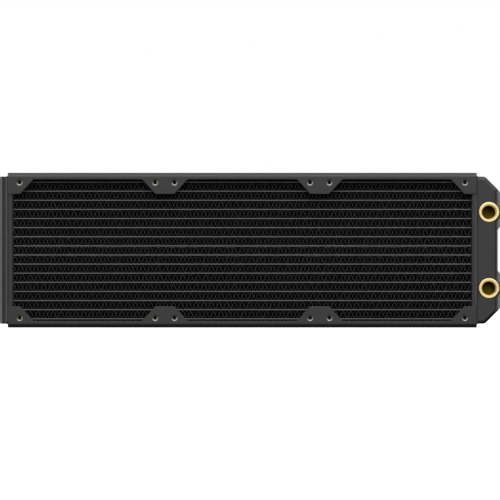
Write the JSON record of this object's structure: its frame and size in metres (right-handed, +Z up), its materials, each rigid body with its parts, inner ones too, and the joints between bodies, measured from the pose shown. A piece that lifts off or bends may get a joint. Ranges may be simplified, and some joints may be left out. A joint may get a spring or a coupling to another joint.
{
  "type": "liquid cooling radiator",
  "caption": "Slim black radiator for a computer water-cooling loop, with a flat-tube and folded-fin core, fan tabs, and a tank with threaded brass ports at one end.",
  "frame": {"origin": "middle of the footprint, on the lower side channel's outer face", "axes": "+X along the core towards the port tank, +Y away from the side that the ports face, +Z up"},
  "size_m": [0.3898, 0.03, 0.12],
  "materials": {
    "black_paint": "satin black powder coat with a fine texture",
    "tube_black": "thin black paint over the tube noses, slightly glossy",
    "fin_black": "thin matt black paint on folded foil",
    "brass": "bare turned brass"
  },
  "bodies": {
    "root": {"top_side_channel": "black_paint", "bottom_side_channel": "black_paint", "flat_tube_01": "tube_black", "flat_tube_02": "tube_black", "flat_tube_03": "tube_black", "flat_tube_04": "tube_black", "flat_tube_05": "tube_black", "flat_tube_06": "tube_black", "flat_tube_07": "tube_black", "flat_tube_08": "tube_black", "flat_tube_09": "tube_black", "flat_tube_10": "tube_black", "flat_tube_11": "tube_black", "flat_tube_12": "tube_black", "flat_tube_13": "tube_black", "flat_tube_14": "tube_black", "flat_tube_15": "tube_black", "flat_tube_16": "tube_black", "fin_strip_01": "fin_black", "fin_strip_02": "fin_black", "fin_strip_03": "fin_black", "fin_strip_04": "fin_black", "fin_strip_05": "fin_black", "fin_strip_06": "fin_black", "fin_strip_07": "fin_black", "fin_strip_08": "fin_black", "fin_strip_09": "fin_black", "fin_strip_10": "fin_black", "fin_strip_11": "fin_black", "fin_strip_12": "fin_black", "fin_strip_13": "fin_black", "fin_strip_14": "fin_black", "fin_strip_15": "fin_black", "fin_strip_16": "fin_black", "fin_strip_17": "fin_black", "port_header_plate": "black_paint", "return_header_plate": "black_paint", "port_tank": "black_paint", "return_tank": "black_paint", "port_tank_partition": "brass", "inlet_port_insert": "brass", "outlet_port_insert": "brass"}
  },
  "joints": []
}
